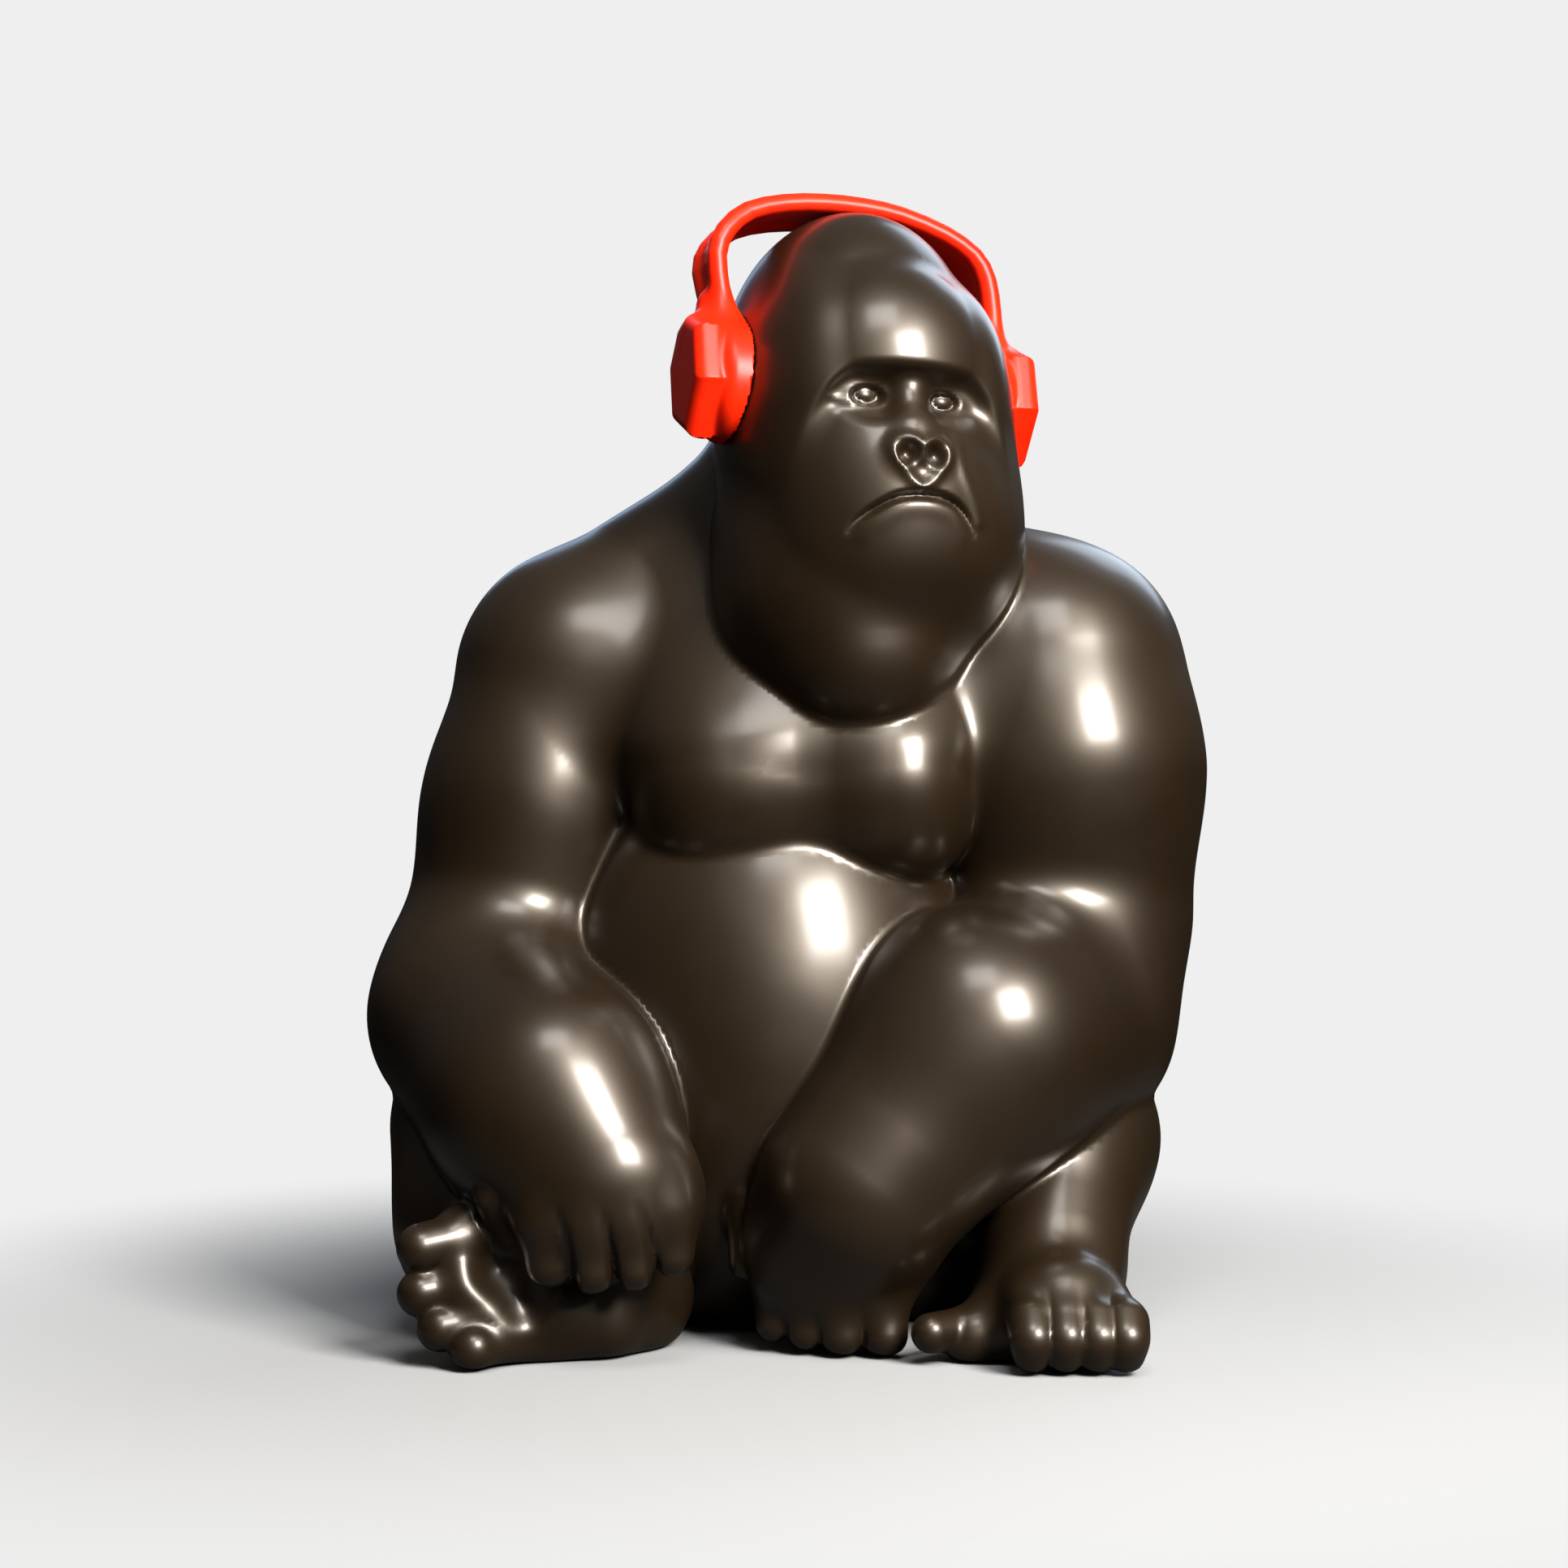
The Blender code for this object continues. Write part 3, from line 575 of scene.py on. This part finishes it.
# Sprayed gloss isn't quite even: it has broad waves from polishing and a fine orange peel
coat_group, given, result = new_group(
    "sprayed_gloss", [("Wave Height", 0.0005), ("Peel Height", 0.000006), ("Haze", 0.06)],
    [("Normal", "NodeSocketVector"), ("Roughness Added", "NodeSocketFloat")])
place = coat_group.nodes.new("ShaderNodeTexCoord").outputs["Object"]
waves = coat_group.nodes.new("ShaderNodeBump")
coat_group.links.new(noise(coat_group, place, 42, 1), waves.inputs["Height"])
coat_group.links.new(given["Wave Height"], waves.inputs["Distance"])
peel = coat_group.nodes.new("ShaderNodeBump")
coat_group.links.new(noise(coat_group, place, 900, 2), peel.inputs["Height"])
coat_group.links.new(given["Peel Height"], peel.inputs["Distance"])
coat_group.links.new(waves.outputs["Normal"], peel.inputs["Normal"])
coat_group.links.new(peel.outputs["Normal"], result["Normal"])
haze = coat_group.nodes.new("ShaderNodeMath")
haze.operation = "MULTIPLY"
coat_group.links.new(noise(coat_group, place, 28, 4), haze.inputs[0])
coat_group.links.new(given["Haze"], haze.inputs[1])
coat_group.links.new(haze.outputs["Value"], result["Roughness Added"])


def sprayed(tree, shader, wave, peel_height, haze_amount, roughness):
    """Puts the uneven gloss on a shader, over a plain roughness."""
    group = tree.nodes.new("ShaderNodeGroup")
    group.node_tree = coat_group
    group.inputs["Wave Height"].default_value = wave
    group.inputs["Peel Height"].default_value = peel_height
    group.inputs["Haze"].default_value = haze_amount
    tree.links.new(group.outputs["Normal"], shader.inputs["Normal"])
    total = tree.nodes.new("ShaderNodeMath")
    total.inputs[1].default_value = roughness
    tree.links.new(group.outputs["Roughness Added"], total.inputs[0])
    tree.links.new(total.outputs["Value"], shader.inputs["Roughness"])


dark_resin, tree, shader = shader_of("dark_resin")
place = tree.nodes.new("ShaderNodeTexCoord").outputs["Object"]
stain = ramp(tree, noise(tree, place, 14, 5),
             (0.35, (0.0080, 0.0038, 0.0010)), (0.65, (0.0120, 0.0064, 0.0022)))
tree.links.new(stain, shader.inputs["Base Color"])
shader.inputs["IOR"].default_value = 1.5
shader.inputs["Specular Tint"].default_value = (1, 0.86, 0.70, 1)
shader.inputs["Coat Weight"].default_value = 0.42
shader.inputs["Coat Roughness"].default_value = 0.21
sprayed(tree, shader, wave=0.0005, peel_height=0.000006, haze_amount=0.06, roughness=0.38)
figure.data.materials.append(dark_resin)
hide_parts("gorilla")
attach(figure, "root")

# Headphones
# One red resin casting, with two hexagonal cups and a band of two rails with a thin web
# between them. It sits over the head and was fixed on after both were painted.
BAND_TILT = 19
RAIL_RADIUS = 2.9
RAIL_SPREAD_AT_CUPS = 5
RAIL_SPREAD_ON_TOP = 8.5
BACK_RAIL_RISE = 0.18
WEB_HALF_THICKNESS = 1.4
CUP_MIDDLE = -3
CAP_OUTER = 52
CAP_INNER = 42.5
RING_DEEPEST = 30
CUP_HALF_WIDTH = 14.5
CUP_SIDE_TOP = 9.5
CUP_SIDE_BOTTOM = -7.5
CUP_TOP = 17.5
CUP_TIP = -19.5
RING_HALF_WIDTH = 16.5
RING_HALF_HEIGHT = 17.6
COLLAR_TOP = 23
SEAT_GAP = 0.35
BAND_TURN = HEAD_TURN @ turn_x(-BAND_TILT)


# Front rail of the band, in its leaning plane, as (across, up) from the ears
RAIL_LINE = curve_through([(-43.4, 16), (-43.9, 24), (-45.2, 35.4), (-42.4, 43.6), (-35.2, 50.6),
                           (-24, 54.5), (-12, 56.2), (0, 56.4), (12, 55), (25.5, 50.4),
                           (34, 44.6), (38, 37), (39.5, 27.2), (39.9, 18)], 2)
# Outline of a cup from the side, as (back, up) from the ears
CUP_OUTLINE = np.array([(-CUP_HALF_WIDTH, CUP_SIDE_BOTTOM), (-CUP_HALF_WIDTH, CUP_SIDE_TOP),
                        (-4, CUP_TOP), (4, CUP_TOP), (CUP_HALF_WIDTH, CUP_SIDE_TOP),
                        (CUP_HALF_WIDTH, CUP_SIDE_BOTTOM), (0, CUP_TIP)])


def from_outline(side, corners):
    """Distance to a convex outline that runs clockwise."""
    best = np.full(len(side), -1e9)
    for a, b in zip(corners, np.roll(corners, -1, 0)):
        outward = np.array((a[1] - b[1], b[0] - a[0]))
        best = np.maximum(best, (side - a) @ (outward / np.linalg.norm(outward)))
    return best


def slab(side, across, radius):
    """An outline carried across, with its edges rounded."""
    a, b = side + radius, across + radius
    return np.minimum(np.maximum(a, b), 0) + np.hypot(np.maximum(a, 0), np.maximum(b, 0)) - radius


def cup(q, side):
    """A flat hexagonal cap on a round ring, with a collar for the band."""
    out = side * (q[:, 0] - CUP_MIDDLE)
    face_on = q[:, 1:]
    cap_middle = (CAP_OUTER + CAP_INNER) / 2
    cap_reach = (CAP_OUTER - CAP_INNER) / 2
    cap = slab(from_outline(face_on, CUP_OUTLINE), np.abs(out - cap_middle) - cap_reach, 3.6)
    from_middle = np.hypot(q[:, 1] / RING_HALF_WIDTH, (q[:, 2] + 1.2) / RING_HALF_HEIGHT)
    off_ring = (from_middle - 1) * RING_HALF_WIDTH
    ring_middle = (CAP_INNER + RING_DEEPEST) / 2 + 1
    ring_reach = (CAP_INNER - RING_DEEPEST) / 2 + 1
    ring = slab(off_ring, np.abs(out - ring_middle) - ring_reach, 4.5)
    collar = limb(q, (CUP_MIDDLE + side * 40, 0, 12, 8.5),
                  (CUP_MIDDLE + side * 41, 0, COLLAR_TOP, 5.6))
    return melt(melt(cap, ring, 1.6), collar, 5)


def headphones(p):
    """The band's two rails with a web between them, and a cup at each end."""
    q = (p - np.array(EARS)) @ BAND_TURN
    on_top = ease(q[:, 2], 20, 46)
    rise = BACK_RAIL_RISE * (q[:, 1] + RAIL_SPREAD_ON_TOP) * on_top
    from_rail = from_line(np.stack([q[:, 0], q[:, 2] - rise], 1), RAIL_LINE)
    spread = RAIL_SPREAD_AT_CUPS + (RAIL_SPREAD_ON_TOP - RAIL_SPREAD_AT_CUPS) * on_top
    off_rail = np.abs(q[:, 1]) - spread
    rails = np.hypot(from_rail, off_rail) - RAIL_RADIUS
    out = melt(rails, slab(from_rail - WEB_HALF_THICKNESS, off_rail, 0.8), 1.5)
    for side in (-1, 1):
        out = melt(out, cup(q, side), 3)
    return out


def seated_headphones(p):
    """Headphones cut back from the head, so that a fine gap is left all over."""
    return np.maximum(within(p, np.array(EARS) + (0, 6, 16), 75, headphones), SEAT_GAP - gorilla(p))


phones = casting("red_headphones", seated_headphones,
                 [grid_lines(-50, 90, 0.8), grid_lines(-60, 50, 0.8), grid_lines(235, 340, 0.8)],
                 most_triangles=90000)
red_resin, tree, shader = shader_of("red_resin")
place = tree.nodes.new("ShaderNodeTexCoord").outputs["Object"]
paint = ramp(tree, noise(tree, place, 30, 3),
             (0.3, (0.80, 0.012, 0.001)), (0.7, (0.92, 0.022, 0.002)))
tree.links.new(paint, shader.inputs["Base Color"])
shader.inputs["IOR"].default_value = 1.5
shader.inputs["Specular IOR Level"].default_value = 0.22
sprayed(tree, shader, wave=0.0003, peel_height=0.000005, haze_amount=0.05, roughness=0.33)
phones.data.materials.append(red_resin)
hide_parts("headphones")
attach(phones, "root")

# Floor
# A matt pale table of painted board under the figure. It is a thin disc that fades into the
# pale surroundings, a little below the figure so that the two faces don't flicker.
FLOOR_RADIUS = 1.6
FLOOR_DROP = 0.0002
FADE_START = 0.13
FADE_END = 0.36
RIM_POINTS = 96
floor_mesh = bpy.data.meshes.new("pale_floor")
rim = [(FLOOR_RADIUS * cos(2 * pi * k / RIM_POINTS), FLOOR_RADIUS * sin(2 * pi * k / RIM_POINTS), 0)
       for k in range(RIM_POINTS)]
floor_mesh.from_pydata(rim, [], [tuple(range(RIM_POINTS))])
pale_floor = bpy.data.objects.new("pale_floor", floor_mesh)
bpy.context.scene.collection.objects.link(pale_floor)
pale_floor.location.z = -FLOOR_DROP
pale_paint, tree, shader = shader_of("pale_floor")
shader.inputs["Roughness"].default_value = 0.9
shader.inputs["Specular IOR Level"].default_value = 0.1
place = tree.nodes.new("ShaderNodeTexCoord").outputs["Object"]
out = tree.nodes.new("ShaderNodeVectorMath")
out.operation = "LENGTH"
tree.links.new(place, out.inputs[0])
fade = tree.nodes.new("ShaderNodeMapRange")
fade.interpolation_type = "SMOOTHSTEP"
fade.inputs["From Min"].default_value = FADE_START
fade.inputs["From Max"].default_value = FADE_END
fade.inputs["To Min"].default_value = 1
fade.inputs["To Max"].default_value = 0
tree.links.new(out.outputs["Value"], fade.inputs["Value"])
tree.links.new(fade.outputs["Result"], shader.inputs["Alpha"])
# The board gives little light back to the figure, although it looks pale from the front
to_camera = tree.nodes.new("ShaderNodeLightPath").outputs["Is Camera Ray"]
pale = ramp(tree, to_camera, (0, (0.05, 0.05, 0.05)), (1, (0.34, 0.34, 0.34)))
tree.links.new(pale, shader.inputs["Base Color"])
floor_mesh.materials.append(pale_paint)

# Light
# A photographer's studio with pale walls: a strong soft box high in front at the right, a
# weaker one above it, and two weak bluish ones behind the figure that draw its rims.
world = bpy.data.worlds.new("pale_studio")
bpy.context.scene.world = world
world.use_nodes = True
sky = world.node_tree
seen = sky.nodes["Background"]
seen.inputs["Color"].default_value = (0.863, 0.863, 0.863, 1)
walls = sky.nodes.new("ShaderNodeBackground")
direction = sky.nodes.new("ShaderNodeSeparateXYZ")
sky.links.new(sky.nodes.new("ShaderNodeTexCoord").outputs["Generated"], direction.inputs[0])
brightness = ramp(sky, direction.outputs["Z"], (0.0, (0.012, 0.011, 0.010)),
                  (0.5, (0.10, 0.092, 0.088)), (1.0, (0.2, 0.19, 0.18)))
sky.links.new(brightness, walls.inputs["Color"])
walls.inputs["Strength"].default_value = 1
either = sky.nodes.new("ShaderNodeMixShader")
sky.links.new(sky.nodes.new("ShaderNodeLightPath").outputs["Is Camera Ray"], either.inputs["Fac"])
sky.links.new(walls.outputs["Background"], either.inputs[1])
sky.links.new(seen.outputs["Background"], either.inputs[2])
sky.links.new(either.outputs["Shader"], sky.nodes["World Output"].inputs["Surface"])
FIGURE_MIDDLE = Vector((0, 0, 0.16))
BOX_DISTANCE = 1.3


def soft_box(name, azimuth, elevation, width, height, watts, colour):
    """A rectangular light aimed at the figure's middle. Azimuth 0 is in front, 90 at the right."""
    lamp = bpy.data.lights.new(name, "AREA")
    lamp.shape = "RECTANGLE"
    lamp.size, lamp.size_y = width, height
    lamp.energy = watts
    lamp.color = colour
    holder = bpy.data.objects.new(name, lamp)
    bpy.context.scene.collection.objects.link(holder)
    a, e = radians(azimuth), radians(elevation)
    away = Vector((sin(a) * cos(e), -cos(a) * cos(e), sin(e)))
    holder.location = FIGURE_MIDDLE + away * BOX_DISTANCE
    holder.rotation_euler = away.to_track_quat("Z", "Y").to_euler()


soft_box("key_box", 34, 31, width=0.5, height=0.52, watts=50, colour=(1, 0.98, 0.95))
soft_box("top_box", 8, 57, width=0.5, height=0.4, watts=9, colour=(1, 1, 1))
soft_box("left_box", -162, 28, width=0.2, height=0.6, watts=0.8, colour=(0.5, 0.7, 1))
soft_box("back_box", 150, 34, width=0.5, height=0.7, watts=4, colour=(0.7, 0.84, 1))

# Camera
# A short portrait lens on a tripod, level with the figure's middle and straight in front of
# it. Its place is in the clay's millimetres.
CAMERA_PLACE = np.array([-0.7, -843, 155.6])
SENSOR_WIDTH = 36
FOCAL_LENGTH = 66
PHOTO_WIDTH = 1932
PIXELS_ASIDE = 3
camera = bpy.data.cameras.new("camera")
camera.sensor_width = SENSOR_WIDTH
camera.lens = FOCAL_LENGTH
camera.shift_x = -PIXELS_ASIDE / PHOTO_WIDTH
viewer = bpy.data.objects.new("camera", camera)
bpy.context.scene.collection.objects.link(viewer)
viewer.location = CAMERA_PLACE * MM + FOOTPRINT_SHIFT
viewer.rotation_euler = (radians(90), 0, 0)
bpy.context.scene.camera = viewer
bpy.context.scene.view_settings.view_transform = "Standard"
